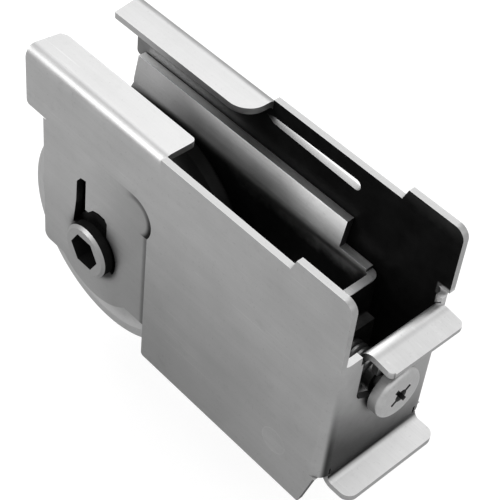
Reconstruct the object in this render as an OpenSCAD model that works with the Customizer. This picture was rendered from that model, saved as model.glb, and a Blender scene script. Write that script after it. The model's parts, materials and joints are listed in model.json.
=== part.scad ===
// Adjustable sliding door roller: a folded sheet housing, a pivoting U-shaped
// wheel carriage, a grooved wheel on a ball bearing, and a captive adjusting screw.
// Axes: +X runs along the length and out through the end plate, the near wall
// is on -Y, +Z is up. Origin: outer face of the end plate, middle of the width,
// level with the top of the folded flanges. Millimetres.
// Name endings: _w width, _h height, _len length, _t thickness, _d diameter, _r radius.

/* [Housing] */
// Width over the two side walls
body_w = 19.05; // [18.6:0.05:20]
// Depth from the flange tops to the lower edge of the walls
body_depth = 37.3; // [36.5:0.1:40]
// Length of the near wall
near_len = 57.8; // [57:0.1:60]
// Length of the far wall
far_len = 57.2; // [56:0.1:58]
// Sheet thickness of the housing
sheet_t = 0.95; // [0.9:0.05:1.1]
// Inside radius of the folds
fold_in_r = 0.85; // [0.6:0.05:0.9]
// Width of the folded top flanges
flange_w = 5.65; // [4.5:0.05:6.2]
// Distance from the end plate to the near flange
near_flange_x = 31.6; // [30.5:0.1:34]
// Distance from the end plate to the far flange
far_flange_x = 31.3; // [30.5:0.1:34]
// Depth of the upper strip above the wheel cutout
strip_h = 9.3; // [8.6:0.1:9.6]
// Distance from the end plate to the wheel cutout
cutout_x = 33.3; // [32:0.1:35]
// Corner radius of the wheel cutout
cutout_r = 3.3; // [2:0.1:5]
// Height of the raised ears above the flange tops
ear_h = 1.85; // [1:0.05:2.5]
// Length of the raised ears
ear_len = 9; // [7:0.1:11]
// Length of the slot in the far wall
slot_len = 16.6; // [12:0.2:17]
// Height of the slot in the far wall at its rounded end
slot_h = 1.6; // [1.2:0.1:2.2]

/* [End plate] */
// Top edge of the plate on the near side of the upper tab, below the flange tops
plate_near_z = 9.1; // [8.9:0.1:9.5]
// Top edge of the plate on the far side of the upper tab, below the flange tops
plate_far_z = 8.3; // [8.1:0.1:8.7]
// Top face of the upper tab, below the flange tops
upper_tab_z = 8.8; // [8.5:0.1:9.5]
// Top face of the lower tab, below the flange tops
lower_tab_z = 31.4; // [31:0.1:32]
// Projection of the two tabs
tab_out = 3.8; // [3:0.1:5]
// Droop of the upper tab
tab_droop = 8; // [0:1:12]

/* [Carriage] */
// Width over the carriage cheeks
carriage_w = 15.54; // [15.3:0.02:15.6]
// Sheet thickness of the carriage
carriage_t = 1.2; // [1:0.05:1.25]
// Distance from the end plate to the carriage web
web_x = 9.4; // [9.3:0.05:9.8]
// Top edge of the guide lips, below the flange tops
lip_z = 8.1; // [7.8:0.1:8.6]
// Top edge of the cheeks beside the web, below the flange tops
shoulder_z = 12.1; // [11.8:0.1:12.4]
// Lower edge of the cheeks, below the flange tops
cheek_low_z = 34.3; // [33.8:0.1:34.6]
// Radius of the lobe around the axle
lobe_r = 9.4; // [8.5:0.1:9.6]
// Distance of the pivot from the end plate
pivot_x = 8; // [7.6:0.1:8.4]
// Depth of the pivot below the flange tops
pivot_z = 30.2; // [29.8:0.1:30.6]
// Diameter of the pivot pin
pivot_d = 4; // [3.5:0.1:4.4]

/* [Wheel and bearing] */
// Distance of the axle from the end plate
axle_x = 45.8; // [45:0.1:46.2]
// Depth of the axle below the flange tops, wheel retracted
axle_z = 27.65; // [27:0.05:28]
// Wheel diameter
wheel_d = 31.75; // [30:0.05:32.5]
// Wheel width
wheel_w = 11; // [10:0.1:11.2]
// Depth of the groove in the tread
groove_depth = 1.7; // [1:0.1:2]
// Bearing bore
bearing_bore_d = 6.35; // [6:0.05:6.5]
// Bearing outside diameter
bearing_d = 19.05; // [19:0.05:19.2]
// Bearing width
bearing_w = 7.14; // [7:0.02:7.2]
// Ball diameter
ball_d = 3.4; // [3:0.05:3.5]
// Number of balls
ball_count = 8; // [6:1:8]
// Axle bolt head diameter
bolt_head_d = 8.1; // [7.8:0.1:8.6]
// Hex socket, across flats
bolt_hex = 4.76; // [4:0.02:4.8]

/* [Adjusting screw] */
// Depth of the screw axis below the flange tops
screw_z = 18.4; // [18.2:0.1:18.8]
// Screw thread diameter
screw_d = 4.17; // [4:0.01:4.2]
// Thread pitch
screw_pitch = 0.794; // [0.7:0.001:0.8]
// Screw head diameter
screw_head_d = 7.4; // [7:0.1:8.2]
// Diameter of the neck held in the plate
screw_neck_d = 2.8; // [2.6:0.05:3]
// Length of the screw inside the housing
screw_len = 18; // [16:0.5:20]

/* [Hidden] */
$fn = 64;
over = 0.5;                          // overshoot of cutters
fit = 0.03;                          // clearance of close fits
pivot_fit = 0.05;                    // clearance around the pivot pin
half_w = body_w / 2;                 // outer face of a wall
wall_in = half_w - sheet_t;          // inner face of a wall
fold_r = fold_in_r + sheet_t;        // outside fold radius of the housing
cheek_out = carriage_w / 2;          // outer face of a cheek
cheek_in = cheek_out - carriage_t;   // inner face of a cheek
web_fold_in_r = 0.35;                // inside fold radius of the carriage
web_fold_r = carriage_t + web_fold_in_r;
axle_at = [-axle_x, 0, -axle_z];
pivot_at = [-pivot_x, 0, -pivot_z];

// ---------- helpers ----------
// Cutter for a convex corner; the part lies towards +x +y, turned by the angle
module corner(point, radius, angle) translate(point) rotate(angle) difference() {
  translate([-over, -over]) square(radius + over);
  translate([radius, radius]) circle(radius, $fn = 48);
}
// Filling of a concave corner; the empty side lies towards +x +y, turned by the angle
module fillet(point, radius, angle) translate(point) rotate(angle) difference() {
  square(radius);
  translate([radius, radius]) circle(radius, $fn = 48);
}
// Full ring of a fold around the origin
module ring(inner, outer) difference() {
  circle(outer, $fn = 48);
  circle(inner, $fn = 48);
}
// Quarter of that ring, in the +x +y quadrant
module quarter(inner, outer) intersection() {
  ring(inner, outer);
  square(outer + 1);
}
// Stands a drawing in x and z upright, between two y places
module side(from, to)
  translate([0, to, 0]) rotate([90, 0, 0]) linear_extrude(to - from) children();
// Turns a drawing in y and z to run along x, between two x places
module along(from, to)
  translate([from, 0, 0]) rotate([90, 0, 90]) linear_extrude(to - from) children();
// Cylinder parallel to y through a centre, between two y places
module y_cylinder(centre, radius, from, to)
  translate([centre[0], to, centre[2]]) rotate([90, 0, 0]) cylinder(r = radius, h = to - from);
// Revolves a drawing in radius and y about the axle
module about_axle() translate(axle_at) rotate([-90, 0, 0]) rotate_extrude($fn = 128) children();
// Far side part and its mirror image on the near side
module both_sides() for (m = [0, 1]) mirror([0, m, 0]) children();

// ---------- housing ----------
end_fold_z = -lower_tab_z + 1;              // lower end of the folds beside the end plate
upper_fold_z = -upper_tab_z - fold_r;       // fold centre of the upper tab
lower_fold_z = -lower_tab_z + fold_in_r;    // fold centre of the lower tab
upper_tab_y = [-5.1, 7.2];                  // near and far edges of the tabs
lower_tab_y = [-7.8, 8.1];
plate_shoulder_y = [-5.9, 7.3];             // plate edges beside the upper tab
shoulder_low_z = upper_fold_z - 0.2;
relief_w = 0.35;                            // relief cuts beside the lower tab
relief_h = 2.2;
passage_r = 1.6;                            // half width of the screw neck's passage
entry_at = [-3.9, -16.2];                   // foot of its entry slot, in y and z
entry_h = 9.5;
slot_x = 15.7;                              // rounded end of the far wall's slot
slot_z = 2.3;                               // top of that slot

// Side wall below its flange, in x and z; plate_z is the plate's top edge
module wall_outline(len, flange_x, plate_z) difference() {
  union() {
    // strip under the flange
    translate([-len, -strip_h]) square([len - flange_x + over, strip_h - fold_r]);
    // plain wall, then its part under the flange
    translate([-flange_x, -body_depth]) square([flange_x, body_depth]);
    translate([-cutout_x, -body_depth]) square([cutout_x - flange_x + over, body_depth - fold_r]);
    // raised ear with a sloping step
    polygon([[-ear_len - 0.9, -1], [0, -1], [0, ear_h], [-ear_len + 0.2, ear_h]]);
    fillet([-cutout_x, -strip_h], cutout_r, 180);
  }
  corner([-len, -strip_h], 0.6, 0);
  corner([0, ear_h], 1.6, 180);
  // round cut near the corner of the cutout
  translate([-cutout_x - 2.75, -strip_h - 3.5]) circle(3.45, $fn = 64);
  corner([-cutout_x, -body_depth], 0.5, 0);
  // sloping cut below the end plate
  polygon([[1, -29.2], [0.3, -29.5], [-0.9, -30.8], [-2.9, -body_depth - 1],
    [1, -body_depth - 1]]);
  // the fold of the end plate takes over here
  translate([-fold_r, end_fold_z]) square([fold_r + 1, -plate_z - end_fold_z]);
}
// Near flange: fold and flat, in y and z
module flange_section() {
  translate([-half_w + fold_r, -fold_r]) mirror([1, 0]) quarter(fold_in_r, fold_r);
  translate([-half_w + fold_r, -sheet_t]) square([flange_w - fold_r, sheet_t]);
}
// Near flange with rounded free corners, one at the open end, one towards the end plate
module flange(len, flange_x, open_r, plate_r) {
  free_y = -half_w + flange_w;
  lean_y = -half_w + 1.2;
  intersection() {
    along(-len, -flange_x) flange_section();
    translate([0, 0, -fold_r - 1]) linear_extrude(fold_r + 2) difference() {
      translate([-len, -half_w - 1]) square([len - flange_x, flange_w + 1]);
      corner([-len, free_y], open_r, 270);
      corner([-flange_x, free_y], plate_r, 180);
      // open end leans back towards the free edge
      polygon([[-len - 1, lean_y], [-len, lean_y], [-len + 0.8, free_y + 1],
        [-len - 1, free_y + 1]]);
    }
  }
}
// Vertical fold joining the far wall to the end plate
module end_fold(plate_z) translate([-fold_r, half_w - fold_r, end_fold_z])
  linear_extrude(-plate_z - end_fold_z) quarter(fold_in_r, fold_r);
// Upper tab in x and z: folded outward at the top of the plate, then drooping
module upper_tab_section() translate([fold_in_r, upper_fold_z]) {
  reach = 4; // size of the sector that trims the fold
  intersection() {
    ring(fold_in_r, fold_r);
    polygon([[0, 0], [-reach, 0], [-reach, reach],
      [reach * sin(tab_droop), reach * cos(tab_droop)]]);
  }
  rotate(-tab_droop) translate([0, fold_in_r]) square([tab_out - fold_in_r, sheet_t]);
}
// Lower tab in x and z: folded outward at the foot of the plate
module lower_tab_section() translate([fold_in_r, lower_fold_z]) {
  rotate(180) quarter(fold_in_r, fold_r);
  translate([0, -fold_r]) square([tab_out - fold_in_r, sheet_t]);
}
// Plate in y and z, between the two vertical folds
module plate_outline() difference() {
  flat_y = half_w - fold_r;
  union() {
    translate([-flat_y, lower_fold_z]) square([2 * flat_y, upper_fold_z - lower_fold_z]);
    // shoulders beside the upper tab
    translate([-flat_y, shoulder_low_z])
      square([flat_y + plate_shoulder_y[0], -plate_near_z - shoulder_low_z]);
    translate([plate_shoulder_y[1], shoulder_low_z])
      square([flat_y - plate_shoulder_y[1], -plate_far_z - shoulder_low_z]);
  }
  // relief cuts at the ends of the lower tab
  for (m = [0, 1]) mirror([m, 0]) translate([-flat_y - over, -lower_tab_z - over])
    square([relief_w + over, relief_h + over]);
  // entry slot for the screw neck, then the passage to the centre
  translate(entry_at) {
    translate([-passage_r, 0]) square([2 * passage_r, entry_h]);
    circle(passage_r);
    rotate(-29) translate([0, -passage_r]) square([4.4, 2 * passage_r]);
  }
  translate([0, -screw_z]) circle(passage_r);
}
// Slot tapering away from its rounded end, in x and z
module slot_outline() {
  round_x = -slot_x - slot_h / 2;
  tip_x = -slot_x - slot_len;
  polygon([[tip_x, -2.8], [tip_x + 1.4, -2.5], [round_x, -slot_z],
    [round_x, -slot_z - slot_h], [tip_x + 1.4, -3.5]]);
  translate([round_x, -slot_z - slot_h / 2]) circle(slot_h / 2);
}
// Cutter for the two free corners of a tab
module tab_corners(edges, top, radius) translate([0, 0, top - 3]) linear_extrude(4.5) {
  corner([tab_out, edges[0]], radius, 90);
  corner([tab_out, edges[1]], radius, 180);
}
module housing() color([0.68, 0.68, 0.68]) difference() {
  union() {
    side(-half_w, -wall_in) wall_outline(near_len, near_flange_x, plate_near_z);
    side(wall_in, half_w) wall_outline(far_len, far_flange_x, plate_far_z);
    flange(near_len, near_flange_x, 2, 0.7);
    mirror([0, 1, 0]) flange(far_len, far_flange_x, 1, 3.1);
    mirror([0, 1, 0]) end_fold(plate_near_z);
    end_fold(plate_far_z);
    along(-sheet_t, 0) plate_outline();
    side(upper_tab_y[0], upper_tab_y[1]) upper_tab_section();
    side(lower_tab_y[0], lower_tab_y[1]) lower_tab_section();
  }
  side(wall_in - over, half_w + over) slot_outline();
  // seats of the pivot pin
  both_sides() y_cylinder(pivot_at, pivot_d / 2, wall_in - over, half_w + over);
  tab_corners(lower_tab_y, -lower_tab_z, 1.5);
  tab_corners(upper_tab_y, -upper_tab_z, 0.6);
}

// ---------- carriage ----------
near_cheek_len = 56.7;
far_cheek_len = 57.2;
near_lip_len = 56.2;    // open ends of the lips, from the end plate
far_lip_len = 55.4;
lip_x = 15.7;           // ends of the lips towards the end plate
pivot_ear_r = 3.8;
pivot_ear_h = 7.6;
web_low_z = -26.4;
web_h = 26.4 - 12.6;
web_slot_w = 5.2;
web_slot_h = 9;
collar_r = 3.6;         // collar of the clinch nut, seated in the far cheek
// Window and slit above the axle, x and z from the axle
window_points = [[-4.5, 1.4], [-3.9, 5.8], [-3.75, 9.5], [-2.9, 10.6], [-1.85, 10.8],
  [-1.95, 5.5], [-1.3, 5.5], [-0.3, 6.6], [0.9, 6.95], [2.1, 6.9], [2.6, 6.3], [2.55, 2]];

// Cheek in x and z; a chamfer above 0 slopes its open end
module cheek_outline(len, chamfer) difference() {
  ear_x = -web_x - web_fold_r - 1;
  union() {
    translate([-len, -cheek_low_z])
      square([len - web_x - web_fold_r, cheek_low_z - shoulder_z]);
    translate([-axle_x, -axle_z]) circle(lobe_r, $fn = 96);
    // pivot ear
    translate([-pivot_x, -pivot_z]) circle(pivot_ear_r);
    translate([ear_x, -cheek_low_z]) square([-pivot_x - ear_x, pivot_ear_h]);
  }
  corner([-len, -cheek_low_z], 1, 0);
  if (chamfer > 0)
    polygon([[-len - 1, -shoulder_z - 5], [-len, -shoulder_z - 4],
      [-len + chamfer, -shoulder_z + 0.1], [-len + chamfer, 0], [-len - 1, 0]]);
}
// Guide lip along the top of the far cheek, leaning outward, in y and z
module lip_section() {
  lip_out = wall_in - 0.1;
  polygon([[cheek_in, -shoulder_z - 0.2], [cheek_out, -shoulder_z - 0.2],
    [cheek_out, -shoulder_z + 0.3], [lip_out, -lip_z], [lip_out - carriage_t, -lip_z],
    [cheek_in, -shoulder_z + 0.3]]);
}
// Keyhole opening of the near cheek, in x and z
module keyhole() translate([-axle_x, -axle_z]) {
  // seat of the axle
  circle(bearing_bore_d / 2 + fit);
  // round clearance above the axle and towards the end plate
  intersection() {
    circle(4.55);
    polygon([[0, 0], [8, -5], [8, 8], [-4.5, 8]]);
  }
  polygon(window_points);
}
module carriage() color([0.66, 0.66, 0.66]) difference() {
  union() {
    side(-cheek_out, -cheek_in) cheek_outline(near_cheek_len, 0);
    side(cheek_in, cheek_out) cheek_outline(far_cheek_len, 2);
    along(-far_lip_len, -lip_x) lip_section();
    mirror([0, 1, 0]) along(-near_lip_len, -lip_x) lip_section();
    // folds of the web, then the web
    both_sides() translate([-web_x - web_fold_r, cheek_out - web_fold_r, web_low_z])
      linear_extrude(web_h) quarter(web_fold_in_r, web_fold_r);
    translate([-web_x - carriage_t, -cheek_out + web_fold_r, web_low_z])
      cube([carriage_t, carriage_w - 2 * web_fold_r, web_h]);
  }
  side(-cheek_out - over, -cheek_in + over) keyhole();
  // collar seat in the far cheek
  y_cylinder(axle_at, collar_r, cheek_in - over, cheek_out + over);
  // pivot bores
  both_sides() y_cylinder(pivot_at, pivot_d / 2 + pivot_fit, cheek_in - over, cheek_out + over);
  // slot in the web for the screw and the tongue of its nut
  along(-web_x - carriage_t - over, -web_x + over)
    translate([-web_slot_w / 2, -screw_z - 5]) square([web_slot_w, web_slot_h]);
}

// ---------- pivot ----------
washer_r = 3.7;

module pivot_pin() color([0.66, 0.66, 0.66]) y_cylinder(pivot_at, pivot_d / 2, -half_w, half_w);
module pivot_washers() color([0.55, 0.55, 0.55]) both_sides() difference() {
  y_cylinder(pivot_at, washer_r, cheek_out + fit, wall_in - fit);
  y_cylinder(pivot_at, pivot_d / 2 + pivot_fit, cheek_out - 1, half_w);
}

// ---------- wheel and bearing ----------
wheel_r = wheel_d / 2;
bearing_r = bearing_d / 2;
bore_r = bearing_bore_d / 2;
bearing_end = bearing_w / 2;                    // far face of the bearing
inner_wall = 1.85;                              // wall of the inner race
outer_wall = 1.5;                               // wall of the outer race
ball_track_r = (bore_r + inner_wall + bearing_r - outer_wall) / 2;
seat_lip = 0.7;                                 // tyre overhang at the bearing's near face
tread_r = 4;                                    // section radius of the tread groove
dish_r = 2.9;                                   // section radius of the dished faces
shield_t = 0.3;
bolt_tip_r = 2.38;                              // bolt end in the clinch nut
spacer_wall = 1.6;
clinch_r = 4.6;

module wheel_tyre() color([0.62, 0.62, 0.62]) about_axle() difference() {
  translate([bearing_r - seat_lip, -wheel_w / 2])
    square([wheel_r - bearing_r + seat_lip, wheel_w]);
  // bearing seat, open towards the far side
  translate([0, -bearing_end]) square([bearing_r, wheel_w]);
  // groove of the snap ring
  translate([0, bearing_end + 0.02]) square([bearing_r + 0.55, 0.7]);
  // rounded shoulders
  corner([wheel_r, -wheel_w / 2], 0.6, 90);
  corner([wheel_r, wheel_w / 2], 0.6, 180);
  // concave tread
  translate([wheel_r - groove_depth + tread_r, 0]) circle(tread_r, $fn = 48);
  // dished faces
  for (s = [-1, 1])
    translate([(wheel_r + bearing_r) / 2, s * (wheel_w / 2 + 2.5)]) circle(dish_r, $fn = 48);
}
module bearing_snap_ring() color([0.3, 0.3, 0.3]) difference() {
  about_axle() translate([bearing_r - 0.95, bearing_end + 0.05]) square([1.45, 0.62]);
  // gap at the bottom
  translate(axle_at) translate([-1.6, bearing_end - 0.5, -12]) cube([3.2, 2, 12]);
}
// Race starting at an inner radius, with its ball groove
module race(inner, wall) about_axle() difference() {
  translate([inner, -bearing_end]) square([wall, bearing_w]);
  translate([ball_track_r, 0]) circle(ball_d / 2 + fit, $fn = 48);
}
module bearing_outer_race() color([0.7, 0.7, 0.7]) race(bearing_r - outer_wall, outer_wall);
module bearing_inner_race() color([0.7, 0.7, 0.7]) race(bore_r, inner_wall);
// Spheres in the places of the balls
module ball_set(size) for (i = [0:ball_count - 1])
  translate(axle_at) rotate([0, i * 360 / ball_count, 0])
    translate([ball_track_r, 0, 0]) sphere(d = size, $fn = 32);
module bearing_balls() color([0.8, 0.8, 0.8]) ball_set(ball_d);
module bearing_cage() color([0.6, 0.5, 0.3]) difference() {
  about_axle() translate([ball_track_r - 0.65, -0.9]) square([1.3, 3.2]);
  ball_set(ball_d + 0.1);
}
// Shield between the races, from its near face
module shield(from) {
  inner = bore_r + inner_wall + 0.05;
  about_axle() translate([inner, from]) square([bearing_r - outer_wall - inner, shield_t]);
}
module bearing_shield_near() color([0.25, 0.25, 0.25]) shield(-2.9);
module bearing_shield_far() color([0.25, 0.25, 0.25]) shield(2.6);
module axle_bolt() color([0.7, 0.7, 0.7]) difference() {
  head_face = -half_w + fit;
  union() {
    // head with a chamfered rim
    about_axle() difference() {
      translate([0, head_face]) square([bolt_head_d / 2, -cheek_out - head_face]);
      translate([bolt_head_d / 2, head_face]) rotate(45) square([0.6, 0.6], center = true);
    }
    y_cylinder(axle_at, bore_r, -cheek_out, bearing_end);
    y_cylinder(axle_at, bolt_tip_r, bearing_end, cheek_out - 0.1);
  }
  // hex socket
  translate([axle_at[0], -half_w + 4.2, axle_at[2]]) rotate([90, 0, 0])
    cylinder(d = bolt_hex / cos(30), h = 5, $fn = 6);
}
module axle_spacer() color([0.5, 0.5, 0.5]) difference() {
  y_cylinder(axle_at, bore_r + spacer_wall, -cheek_in, -bearing_end);
  y_cylinder(axle_at, bore_r, -cheek_in - 1, -bearing_end + 1);
}
module axle_clinch_nut() color([0.5, 0.5, 0.5]) difference() {
  union() {
    y_cylinder(axle_at, clinch_r, bearing_end, cheek_in);
    y_cylinder(axle_at, collar_r, cheek_in, cheek_out - 0.05);
  }
  y_cylinder(axle_at, bolt_tip_r, 0, cheek_out + 1);
}

// ---------- adjusting screw ----------
head_gap = 0.45;                    // head clear of the plate
head_h = 1.95;
head_end = head_gap + head_h;       // outer face of the head
thread_turns = floor((screw_len - 3) / screw_pitch);
nut_r = 4;                          // radius of the nut's bearing face
nut_w = 8;
nut_h = 6.4;
tongue_w = 5;
tongue_h = 4.4;

// Half section of the screw, in radius and x
module screw_profile() difference() {
  union() {
    // pan head
    translate([0, head_gap]) square([screw_head_d / 2, head_h]);
    // neck
    translate([0, -sheet_t - 0.3]) square([screw_neck_d / 2, sheet_t + 1]);
    // shank, its shoulder against the inside of the plate
    translate([0, -screw_len]) square([screw_d / 2, screw_len - sheet_t - 0.08]);
  }
  corner([screw_head_d / 2, head_end], 0.8, 180);
  corner([screw_d / 2, -screw_len], 0.7, 90);
  // thread as separate V grooves
  for (i = [0:thread_turns - 1])
    translate([screw_d / 2 + 0.12, -2.4 - i * screw_pitch])
      rotate(45) square([0.52, 0.52], center = true);
}
module adjusting_screw() color([0.72, 0.72, 0.72]) difference() {
  translate([0, 0, -screw_z]) rotate([0, 90, 0]) rotate_extrude($fn = 64) screw_profile();
  // cross recess with a round core
  translate([head_end, 0, -screw_z]) for (a = [35, 125])
    rotate([a, 0, 0]) translate([-0.9, -1.75, -0.3]) cube([2, 3.5, 0.6]);
  translate([head_end - 1.3, 0, -screw_z]) rotate([0, 90, 0]) cylinder(d = 1.9, h = 3);
}
module thrust_nut() color([0.45, 0.45, 0.45]) difference() {
  union() {
    // half-round body bearing on the web, so the web can tilt against it
    intersection() {
      y_cylinder([-web_x + fit + nut_r, 0, -screw_z], nut_r, -nut_w / 2, nut_w / 2);
      translate([-web_x, -nut_w / 2, -screw_z - nut_h / 2]) cube([3, nut_w, nut_h]);
    }
    // tongue in the slot of the web
    translate([-web_x - 1.5, -tongue_w / 2, -screw_z - tongue_h / 2])
      cube([3, tongue_w, tongue_h]);
  }
  translate([-web_x - 3, 0, -screw_z]) rotate([0, 90, 0]) cylinder(r = screw_d / 2 + fit, h = 7);
}

housing();
carriage();
pivot_pin();
pivot_washers();
wheel_tyre();
bearing_snap_ring();
bearing_outer_race();
bearing_inner_race();
bearing_balls();
bearing_cage();
bearing_shield_near();
bearing_shield_far();
axle_bolt();
axle_spacer();
axle_clinch_nut();
adjusting_screw();
thrust_nut();
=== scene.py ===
"""Sliding door roller: looks, floor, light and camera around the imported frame.

The frame is in metres, z up. The housing runs along x: its end plate, near x = 0, faces +x
and its side walls face -y and +y. The carriage and its wheel lie towards -x, and the wheel
turns about y. The camera looks from +x, -y and above, so "near" means the -y side.
Places and sizes inside the materials are in millimetres.
"""
import json
import math

import bpy
from mathutils import Matrix, Vector


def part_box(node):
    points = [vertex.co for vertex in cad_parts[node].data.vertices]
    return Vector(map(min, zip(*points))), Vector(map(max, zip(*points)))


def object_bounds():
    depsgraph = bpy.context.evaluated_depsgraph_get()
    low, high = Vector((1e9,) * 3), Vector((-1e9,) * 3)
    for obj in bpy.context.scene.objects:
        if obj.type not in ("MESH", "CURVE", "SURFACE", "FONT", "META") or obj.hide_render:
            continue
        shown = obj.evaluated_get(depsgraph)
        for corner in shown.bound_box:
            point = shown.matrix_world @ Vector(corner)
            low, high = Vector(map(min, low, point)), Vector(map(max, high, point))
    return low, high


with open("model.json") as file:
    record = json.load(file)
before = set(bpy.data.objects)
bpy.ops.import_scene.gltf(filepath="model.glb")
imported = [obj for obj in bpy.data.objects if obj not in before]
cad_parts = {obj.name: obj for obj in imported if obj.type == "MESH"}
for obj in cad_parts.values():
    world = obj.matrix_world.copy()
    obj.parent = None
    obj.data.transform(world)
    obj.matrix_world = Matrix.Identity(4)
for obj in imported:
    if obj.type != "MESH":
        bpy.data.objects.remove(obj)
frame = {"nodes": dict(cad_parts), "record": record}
cad_lo, cad_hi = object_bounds()
nodes = frame["nodes"]
wheel_lo, wheel_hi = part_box("wheel_tyre")

MM = 0.001
TO_MM = (1000, 1000, 1000)
WHITE = (1, 1, 1, 1)
WHEEL_CENTRE = tuple(1000 * (a + b) / 2 for a, b in zip(wheel_lo, wheel_hi))

# housing wall and its cutout, in mm
WALL_Y = -9.525  # outer face of the near wall
CUTOUT_X = -36.05  # centre of the cutout's arc
CUTOUT_Z = -12.8

# extra bevels, in mm
BEVEL_WIDTHS = {"housing": 0.09, "carriage": 0.08}

FLOOR_SIZE = 6
FLOOR_GAP = 0.0002  # below the lowest point

CAMERA_PLACE = Vector((62.06156836, -95.78571604, 118.94540548)) * MM
# world to camera, as axis times angle; camera x is right, y down, z forward
CAMERA_TURN = Vector((2.17851893, 0.99875097, -0.28900882))
CAMERA_ANGLE = 0.333990667  # horizontal, in radians


# ------------------------------------------------------------------ shader nodes
class Net:
    """An emptied node tree, with calls that make a node and link its inputs.

    Numbers and sockets can be mixed freely as inputs."""

    def __init__(self, owner):
        owner.use_nodes = True
        self.tree = owner.node_tree
        self.tree.nodes.clear()
        self.x = 0

    def new(self, kind, inputs=None, **props):
        node = self.tree.nodes.new("ShaderNode" + kind)
        self.x += 180
        node.location = (self.x, 0)
        for key, value in props.items():
            setattr(node, key, value)
        for key, value in (inputs or {}).items():
            self.put(node.inputs[key], value)
        return node

    def put(self, socket, value):
        if isinstance(value, bpy.types.NodeSocket):
            self.tree.links.new(value, socket)
        else:
            socket.default_value = value

    def math(self, operation, *values, clamp=False):
        inputs = dict(enumerate(values))
        return self.new("Math", inputs, operation=operation, use_clamp=clamp).outputs[0]

    def chain(self, operation, first, *rest):
        for value in rest:
            first = self.math(operation, first, value)
        return first

    def add(self, *values):
        return self.chain("ADD", *values)

    def sub(self, *values):
        return self.chain("SUBTRACT", *values)

    def mul(self, *values):
        return self.chain("MULTIPLY", *values)

    def max(self, *values):
        return self.chain("MAXIMUM", *values)

    def abs(self, value):
        return self.math("ABSOLUTE", value)

    def radius(self, x, z):
        return self.math("SQRT", self.add(self.mul(x, x), self.mul(z, z)))

    def vary(self, value, noise, amount):
        """value, moved up and down by a noise centred on 0.5"""
        return self.add(value, self.mul(self.sub(noise, 0.5), amount))

    def vmath(self, operation, *values):
        node = self.new("VectorMath", dict(enumerate(values)), operation=operation)
        return node.outputs["Value" if operation == "DOT_PRODUCT" else 0]

    def noise(self, place, scale, detail, rough):
        inputs = {"Vector": place, "Scale": scale, "Detail": detail, "Roughness": rough,
                  "Lacunarity": 2.0}
        return self.new("TexNoise", inputs).outputs["Fac"]

    def step(self, value, start, end, before=0.0, after=1.0):
        """smooth change from before to after as value goes from start to end"""
        inputs = {"Value": value, "From Min": start, "From Max": end,
                  "To Min": before, "To Max": after}
        return self.new("MapRange", inputs, interpolation_type="SMOOTHSTEP").outputs["Result"]

    def fall(self, value, start, end):
        return self.step(value, start, end, 1.0, 0.0)

    def mix(self, factor, a, b):
        return self.new("Mix", {0: factor, 2: a, 3: b}, data_type="FLOAT").outputs[0]

    def mix_color(self, factor, a, b, blend="MIX"):
        node = self.new("Mix", {0: factor, 6: a, 7: b}, data_type="RGBA", blend_type=blend)
        return node.outputs[2]

    def split(self, vector):
        return self.new("SeparateXYZ", {0: vector}).outputs[:3]

    def combine(self, x, y, z):
        return self.new("CombineXYZ", {0: x, 1: y, 2: z}).outputs[0]

    def scaled(self, vector, scale, rotation=(0, 0, 0)):
        inputs = {"Vector": vector, "Rotation": rotation, "Scale": scale}
        return self.new("Mapping", inputs).outputs[0]


# ------------------------------------------------------------------ layers of a metal
def ring_place(net, part, centre):
    """Place for grain that runs in rings about the y axis through centre."""
    x, y, z = net.split(net.vmath("SUBTRACT", part, centre))
    radius = net.radius(x, z)
    angle = net.math("ARCTAN2", z, x)
    return net.combine(net.mul(angle, 0.6), net.mul(y, 6.0), net.mul(radius, 6.0))


def scratches(net, part, clouds):
    """Long, thin handling scratches in two directions, in patches."""
    # the offset shifts the first set; at zero it lies on the part's own origin
    shifted = net.vmath("ADD", part, (0.0, 0.0, 0.0))
    places = (net.scaled(shifted, (0.05, 2.2, 5.5)),
              net.scaled(part, (0.04, 4.5, 4.5), rotation=(0.3, 0.7, 0.4)))
    sets = [net.step(net.noise(place, scale=1.0, detail=1.0, rough=0.4), 0.70, 0.74)
            for place in places]
    return net.mul(net.max(*sets), net.step(clouds, 0.42, 0.62))


def edge_wear(net, part, normal):
    """Worn edges, where the smoothed normal leaves the true one."""
    smooth = net.new("Bevel", {"Radius": 0.22 * MM}, samples=4).outputs[0]
    worn = net.sub(1.0, net.vmath("DOT_PRODUCT", smooth, normal))
    patches = net.noise(part, scale=0.9, detail=3.0, rough=0.6)
    return net.mul(net.step(worn, 0.02, 0.22), net.step(patches, 0.30, 0.62, 0.45, 1.0))


def occlusion(net, distance_mm, samples):
    node = net.new("AmbientOcclusion", {"Distance": distance_mm * MM}, samples=samples)
    return node.outputs["AO"]


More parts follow.
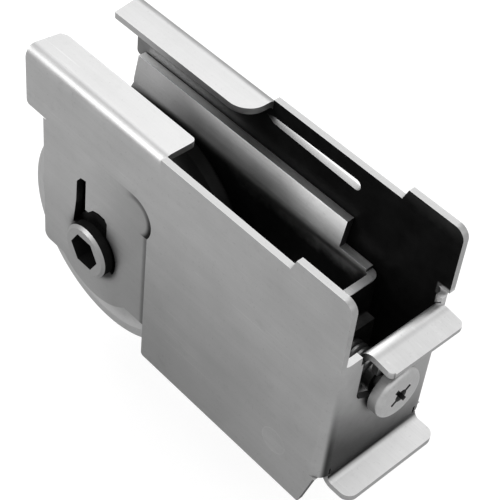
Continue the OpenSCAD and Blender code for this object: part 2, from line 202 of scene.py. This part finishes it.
def metal(name, base, rough, grain=0.10, cloud=0.10, specks=0.25, edge=0.25, cavity_mm=6.0,
          contact=0.45, contact_mm=1.2, contact_at=(0.42, 0.95), scratch=0.5, bump=1.0,
          polar=None, shape=None):
    """Satin, mill-finished or turned steel.

    grain, cloud, specks, edge and scratch are the strengths of those layers of tone.
    cavity_mm: reach of the wide painted shade. contact: strength of the painted shadow lines
    where faces meet, with their reach and the range of openness they fade over. bump: height of
    the
    relief. polar: centre of rings of grain about y. shape: this piece's own areas of painted
    light and shade, as a dict of "dark" (painted shade, near black) and, if wanted, "tone" (a
    factor that paints light and shade), "open" (faces kept free of the painted shade) and "lean"
    (a push on the normal)."""
    mat = bpy.data.materials.new(name)
    net = Net(mat)
    part = net.scaled(net.new("TexCoord").outputs["Object"], TO_MM)
    geometry = net.new("NewGeometry")
    normal = geometry.outputs["Normal"]

    # noises, from fine grain to broad stains; straight grain runs along x
    place = ring_place(net, part, polar) if polar else net.scaled(part, (0.12, 3.0, 3.0))
    fine = net.noise(place, scale=1.0, detail=3.0, rough=0.6)
    wide = net.noise(place, scale=0.22, detail=2.0, rough=0.5)
    clouds = net.noise(part, scale=0.16, detail=4.0, rough=0.55)
    pits = net.noise(part, scale=2.6, detail=3.0, rough=0.6)
    shifted = net.vmath("ADD", part, (31.0, 17.0, 5.0))
    stain = net.noise(shifted, scale=0.45, detail=5.0, rough=0.62)

    # tone: 1 is the plain finish
    tone = net.vary(1.0, fine, grain * 2)
    tone = net.vary(tone, wide, grain * 1.4)
    tone = net.vary(tone, clouds, cloud * 2)
    tone = net.sub(tone, net.mul(net.step(pits, 0.60, 0.74), specks * 0.5))
    tone = net.sub(tone, net.mul(net.step(stain, 0.60, 0.72), specks * 0.22))
    scratched = scratches(net, part, clouds)
    tone = net.add(tone, net.mul(scratched, scratch * 0.22))
    worn = edge_wear(net, part, normal)
    tone = net.add(tone, net.mul(worn, edge))

    # painted shade in cavities, and painted shadow lines where faces meet, both from ambient
    # occlusion
    shade = net.step(occlusion(net, cavity_mm, samples=12), 0.10, 0.92, 1.0 - 0.80, 1.0)
    line = net.step(occlusion(net, contact_mm, samples=20), *contact_at, 1.0 - contact, 1.0)
    shade = net.mul(shade, line)

    areas = shape(net, part, geometry, stain) if shape else {}
    if "open" in areas:
        shade = net.mix(areas["open"], shade, 1.0)
    if "tone" in areas:
        tone = net.mul(tone, areas["tone"])
    tone = net.max(net.mul(tone, shade), 0.012)

    color = net.mix_color(1.0, (base, base, base, 1.0), WHITE, "MULTIPLY")
    tone_color = net.new("CombineColor", {0: tone, 1: tone, 2: tone}).outputs[0]
    color = net.mix_color(1.0, color, tone_color, "MULTIPLY")

    # smoother where worn, rougher in the shade
    roughness = net.vary(rough, clouds, 0.16)
    roughness = net.vary(roughness, fine, 0.14)
    roughness = net.sub(roughness, net.mul(worn, 0.12))
    roughness = net.add(roughness, net.mul(net.sub(1.0, shade), 0.25))
    roughness = net.math("MINIMUM", net.max(roughness, 0.12), 0.9)

    height = net.add(net.mul(fine, 0.5), net.mul(pits, 0.45), net.mul(clouds, 1.2))
    height = net.sub(height, net.mul(scratched, 0.35))
    relief = net.new("Bump", {"Strength": 1.0, "Distance": 0.010 * MM * bump, "Height": height})
    if "lean" in areas:
        leaning = net.vmath("NORMALIZE", net.vmath("ADD", normal, areas["lean"]))
        net.put(relief.inputs["Normal"], leaning)

    surface = net.new("BsdfPrincipled", {"Base Color": color, "Roughness": roughness,
                                         "Metallic": 1.0, "Normal": relief.outputs[0]}).outputs[0]
    if shape:
        # painted shade: near black where little light reaches
        shade_black = net.mix_color(stain, (0.002, 0.002, 0.002, 1), (0.014, 0.014, 0.014, 1))
        painted_shade_bsdf = net.new("BsdfDiffuse", {"Color": shade_black}).outputs[0]
        surface = net.new("MixShader", {0: areas["dark"], 1: surface, 2: painted_shade_bsdf}).outputs[0]
    net.new("OutputMaterial", {"Surface": surface})
    return mat


# ------------------------------------------------------------------ areas of each piece
# Each bound below is a pair of start and end, over which an area fades in or out.
def wobble(net, stain):
    """Uneven border for an area, from -1 to 1."""
    return net.mul(net.sub(stain, 0.5), 2.0)


def world_mm(net, geometry):
    return net.split(net.scaled(geometry.outputs["Position"], TO_MM))


def inward_faces(net, y, ny, side):
    """Faces turned to the middle plane y = 0, within side."""
    facing = net.mul(net.math("SIGN", y), ny)
    return net.mul(net.fall(facing, -0.7, -0.35), side)


def near_face(net, y, ny, start, end):
    return net.mul(net.fall(ny, -0.95, -0.7), net.fall(y, start, end))


def housing_shape(net, part, geometry, stain):
    x, y, z = net.split(part)
    nx, ny, nz = net.split(geometry.outputs["Normal"])
    wob = wobble(net, stain)
    # painted shade: faces turned inward go near black, a little less at the top and towards the
    # open end
    side = net.max(net.step(net.abs(y), 6.4, 7.2), net.fall(z, -2.6, -1.6))
    inward = inward_faces(net, y, ny, side)
    depth = net.step(net.add(z, net.mul(wob, 0.5)), -0.6, 1.8, 0.985, 0.62)
    # painted light: the painted shade eases towards the open end, under the far flange
    end_light = net.step(net.add(x, net.mul(wob, 1.5)), -56.0, -33.0, 0.25, 1.0)
    depth = net.mul(depth, end_light)
    # a shoulder near the end plate, painted brighter like the tabs and kept out of the painted
    # shade
    shoulder = net.mul(net.step(x, -2.1, -1.8), net.step(z, -9.9, -9.4),
                       net.fall(z, -8.0, -7.6), net.step(y, 6.0, 6.6), net.fall(ny, 0.5, 0.8))
    dark = net.mul(inward, depth, net.sub(1.0, shoulder))
    # tabs: faces turned up and out, painted brighter and kept free of the painted shade
    low_tab = net.mul(net.step(x, 0.15, 0.55), net.step(nz, 0.5, 0.8))
    up_tab = net.mul(net.step(x, -1.05, -0.9), net.step(z, -10.8, -10.2),
                     net.fall(z, -8.7, -8.4), net.step(nz, -0.05, 0.25))
    tab = net.max(low_tab, up_tab, shoulder)
    # painted shade along the upper tab's crease
    crease_shade = net.mul(up_tab, net.step(net.abs(net.sub(x, 1.15)), 0.0, 0.55, 0.16, 0.0))
    # end plate: painted shade, darker towards the lower fold and the near side
    plate = net.mul(net.step(nx, 0.7, 0.95), net.fall(z, -9.7, -9.1), net.fall(x, 0.2, 0.5))
    height = net.add(z, 31.4, net.mul(net.add(y, 9.5), 0.6), wob)
    low = net.step(height, 6.0, 20.5, 0.06, 1.0)
    # near wall: painted shade, darker low down and towards -x
    wall = near_face(net, y, ny, -9.4, -9.2)
    fade = net.mul(net.fall(z, -34.0, -4.0), net.fall(x, -34.0, 6.0))
    # top edges of the walls, painted a little darker
    painted_rim = net.mul(net.step(nz, 0.7, 0.9), net.step(net.abs(y), 8.4, 8.6),
                  net.step(x, -31.8, -31.4), net.step(z, -1.0, -0.5))
    tone = net.mul(net.mix(plate, 1.0, low), net.mix(net.mul(wall, fade), 1.0, 0.70),
                   net.mix(tab, 1.0, 1.42), net.sub(1.0, crease_shade),
                   net.mix(inward, 1.0, 0.6), net.mix(painted_rim, 1.0, 0.80))
    lean = net.combine(net.mul(tab, 0.34), 0.0, 0.0)
    return {"tone": tone, "dark": dark, "open": tab, "lean": lean}


def cutout_shadow(net, geometry):
    """Thin painted shadow under the edge of the housing's cutout.

    The point is seen against the wall's outer face, so the line keeps to the wall's edge
    in every pose."""
    world_x, world_y, world_z = world_mm(net, geometry)
    view_x, view_y, view_z = net.split(net.new("NewGeometry").outputs["Incoming"])
    reach = net.math("DIVIDE", net.sub(WALL_Y, world_y), net.math("MINIMUM", view_y, -0.15))
    wall_x = net.add(world_x, net.mul(view_x, reach))
    dx = net.add(wall_x, -CUTOUT_X)
    dz = net.add(world_z, net.mul(view_z, reach), -CUTOUT_Z)
    arc = net.mul(net.step(net.radius(dx, dz), 2.35, 3.15, 0.0, 0.95), net.step(dx, -1.8, 0.4),
                  net.step(dz, -2.3, -2.0), net.step(dz, -1.0, 3.2, 1.0, 0.55))
    drop = net.mul(net.step(wall_x, -34.20, -33.55, 0.0, 0.45), net.fall(dz, -2.3, -1.9),
                   net.fall(dx, 3.2, 3.6))
    return net.max(arc, drop)


def carriage_shape(net, part, geometry, stain):
    x, y, z = net.split(part)
    nx, ny, nz = net.split(geometry.outputs["Normal"])
    # inner faces: painted light along the top, painted shade below
    inward = inward_faces(net, y, ny, net.step(net.abs(y), 5.9, 6.4))
    lit = net.mul(inward, net.step(z, -13.8, -11.8))
    depth = net.step(net.add(z, wobble(net, stain)), -15.8, -11.6, 0.985, 0.0)
    deep = net.mul(inward, depth)
    # painted shade on the web, below its top edge
    web = net.mul(net.step(net.abs(nx), 0.7, 0.95), net.step(x, -12.2, -11.6),
                  net.step(z, -12.75, -12.65, 0.97, 0.0))
    # cut edges that look up: painted brighter and kept free of the painted shade
    painted_rim = net.mul(net.step(nz, 0.6, 0.9), net.step(z, -13.2, -12.9))
    # near cheek: painted shade, darker towards +x and low down, where the housing's wall shades
    # it
    face = near_face(net, y, ny, -7.7, -7.5)
    fade = net.math("ADD", net.step(x, -47.0, -34.0), net.mul(net.fall(z, -34.0, -14.0), 0.6),
                    clamp=True)
    # strength of the painted light along the inner faces' tops
    lip_light = net.step(x, -54.0, -24.0, 0.34, 0.62)
    dark = net.max(deep, web, net.mul(face, cutout_shadow(net, geometry)))
    tone = net.mul(net.mix(net.mul(face, fade), 1.0, 0.72), net.mix(lit, 1.0, lip_light),
                   net.mix(painted_rim, 1.0, 1.7))
    lean = net.combine(0.0, 0.0, net.mul(lit, 0.75))
    return {"tone": tone, "dark": dark, "open": net.max(lit, painted_rim), "lean": lean}


def wheel_shape(net, part, geometry, stain):
    # painted shade: dark all over except low down and at the -x end
    x, _, z = world_mm(net, geometry)
    return {"dark": net.mul(net.step(x, -57.5, -54.8), net.step(z, -38.0, -34.5), 0.96)}


def head_shape(net, part, geometry, stain):
    # painted shade on the head's side, in the keyhole; its near face and chamfer are not darkened
    ny = net.split(geometry.outputs["Normal"])[1]
    return {"dark": net.step(ny, -0.5, -0.25, 0.0, 0.965)}


def screw_shape(net, part, geometry, stain):
    # painted shade on the neck and thread, which stand behind the end plate
    return {"dark": net.step(net.split(part)[0], -1.4, -0.4, 0.72, 0.0)}


def hidden_shape(net, part, geometry, stain):
    # painted shade: deep inside, out of the light
    return {"dark": net.step(wobble(net, stain), -0.6, 0.6, 0.96, 0.86)}


FINISHES = {
    "housing_sheet": dict(base=0.52, rough=0.40, shape=housing_shape, grain=0.07, cloud=0.13,
                          edge=0.10),
    "carriage_sheet": dict(base=0.52, rough=0.40, shape=carriage_shape, grain=0.07, cloud=0.13,
                           edge=0.15, contact=0.85, contact_mm=3.2, contact_at=(0.74, 0.93)),
    "pin_steel": dict(base=0.50, rough=0.42, contact=0.2),
    "washer_steel": dict(base=0.45, rough=0.45),
    "wheel_steel": dict(base=0.56, rough=0.38, polar=WHEEL_CENTRE, scratch=0.2,
                        shape=wheel_shape),
    "spring_steel": dict(base=0.14, rough=0.5),
    "bearing_steel": dict(base=0.30, rough=0.3, polar=WHEEL_CENTRE, shape=hidden_shape),
    "ball_steel": dict(base=0.7, rough=0.15, grain=0.02, cloud=0.03, specks=0.05, scratch=0.0,
                       bump=0.2),
    "cage_brass": dict(base=0.40, rough=0.4),
    "shield_steel": dict(base=0.10, rough=0.5, polar=WHEEL_CENTRE),
    "bolt_steel": dict(base=0.41, rough=0.42, polar=WHEEL_CENTRE, edge=0.0, shape=head_shape,
                       contact=0.2),
    "nut_steel": dict(base=0.28, rough=0.5, shape=hidden_shape),
    "screw_steel": dict(base=0.64, rough=0.38, edge=0.4, cavity_mm=3.0, shape=screw_shape),
}
materials = {name: metal(name, **finish) for name, finish in FINISHES.items()}

slots = {piece["node"]: piece["material_slot"] for piece in frame["record"]["subparts"]}
for name, ob in nodes.items():
    ob.data.materials.clear()
    ob.data.materials.append(materials[slots[name]])
    for polygon in ob.data.polygons:
        polygon.material_index = 0


# ------------------------------------------------------------------ floor
def floor_height():
    """Just below the lowest point the wheel reaches when it swings out."""
    joints = frame["record"]["behaviour"]["joints"]
    pivot = next(joint for joint in joints if joint["name"] == "carriage_pivot")
    swing = math.radians(pivot["range_deg"][1])
    arm_x = pivot["pos_m"][0] - (wheel_lo.x + wheel_hi.x) / 2
    arm_z = (wheel_lo.z + wheel_hi.z) / 2 - pivot["pos_m"][2]
    wheel_z = pivot["pos_m"][2] + arm_z * math.cos(swing) - arm_x * math.sin(swing)
    return min(cad_lo.z, wheel_z - (wheel_hi.z - wheel_lo.z) / 2) - FLOOR_GAP


def floor_material():
    """Grey that glows for the camera only, so it looks pale but lights nothing."""
    mat = bpy.data.materials.new("floor")
    net = Net(mat)
    seen = net.new("LightPath").outputs["Is Camera Ray"]
    color = net.mix_color(seen, (0.55, 0.55, 0.55, 1), (0.42, 0.42, 0.42, 1))
    diffuse = net.new("BsdfDiffuse", {"Color": color}).outputs[0]
    glow = net.new("Emission", {"Strength": net.mul(seen, 0.68)}).outputs[0]
    both = net.new("AddShader", {0: diffuse, 1: glow}).outputs[0]
    net.new("OutputMaterial", {"Surface": both})
    return mat


bpy.ops.mesh.primitive_plane_add(size=FLOOR_SIZE, location=(0, 0, floor_height()))
floor = bpy.context.object
floor.name = "floor"
floor.data.materials.append(floor_material())

# ------------------------------------------------------------------ light
scene = bpy.context.scene
world = bpy.data.worlds.new("studio")
scene.world = world
net = Net(world)
up = net.split(net.new("TexCoord").outputs["Generated"])[2]
# white, brighter overhead
sky = net.new("Background", {"Color": WHITE, "Strength": net.step(up, -0.1, 0.9, 0.55, 1.0)})
net.new("OutputWorld", {"Surface": sky.outputs[0]})


def soft_box(name, direction, distance, size, radiance):
    """direction points from the product to the light; radiance is what a mirror would show."""
    lamp = bpy.data.lights.new(name, "AREA")
    lamp.shape = "SQUARE"
    lamp.size = size
    lamp.energy = radiance * math.pi * size * size
    ob = bpy.data.objects.new(name, lamp)
    scene.collection.objects.link(ob)
    toward = Vector(direction).normalized()
    ob.location = (cad_lo + cad_hi) / 2 + toward * distance
    ob.rotation_euler = (-toward).to_track_quat("-Z", "Y").to_euler()


soft_box("key", direction=(-0.45, -0.70, 0.62), distance=0.45, size=0.20, radiance=4.0)
soft_box("top", direction=(-0.40, 0.45, 0.85), distance=0.50, size=0.36, radiance=1.22)

# ------------------------------------------------------------------ camera
lens = bpy.data.cameras.new("camera")
lens.lens_unit = "FOV"
lens.sensor_fit = "HORIZONTAL"
lens.angle = CAMERA_ANGLE
lens.clip_start = 0.005
lens.clip_end = 20
camera = bpy.data.objects.new("camera", lens)
scene.collection.objects.link(camera)
to_camera = Matrix.Rotation(CAMERA_TURN.length, 3, CAMERA_TURN.normalized())
# Blender's camera has y up and looks along -z
to_world = to_camera.transposed() @ Matrix.Diagonal((1, -1, -1))
camera.matrix_world = Matrix.Translation(CAMERA_PLACE) @ to_world.to_4x4()
scene.camera = camera
scene.view_settings.view_transform = "Standard"
scene.view_settings.look = "None"
scene.view_settings.exposure = 0.0
scene.view_settings.gamma = 1.0


# ------------------------------------------------------------------ softened edges
def soften(ob, width):
    weld = ob.modifiers.new("weld", "WELD")
    weld.merge_threshold = 1e-6
    planar = ob.modifiers.new("planar", "DECIMATE")
    planar.decimate_type = "DISSOLVE"
    planar.angle_limit = math.radians(1.2)
    bevel = ob.modifiers.new("bevel", "BEVEL")
    bevel.width = width
    bevel.segments = 2
    bevel.limit_method = "ANGLE"
    bevel.angle_limit = math.radians(32)
    bevel.use_clamp_overlap = True
    bevel.harden_normals = False
    normals = ob.modifiers.new("normals", "WEIGHTED_NORMAL")
    normals.keep_sharp = False
    normals.weight = 50


for name, width in BEVEL_WIDTHS.items():
    soften(nodes[name], width * MM)
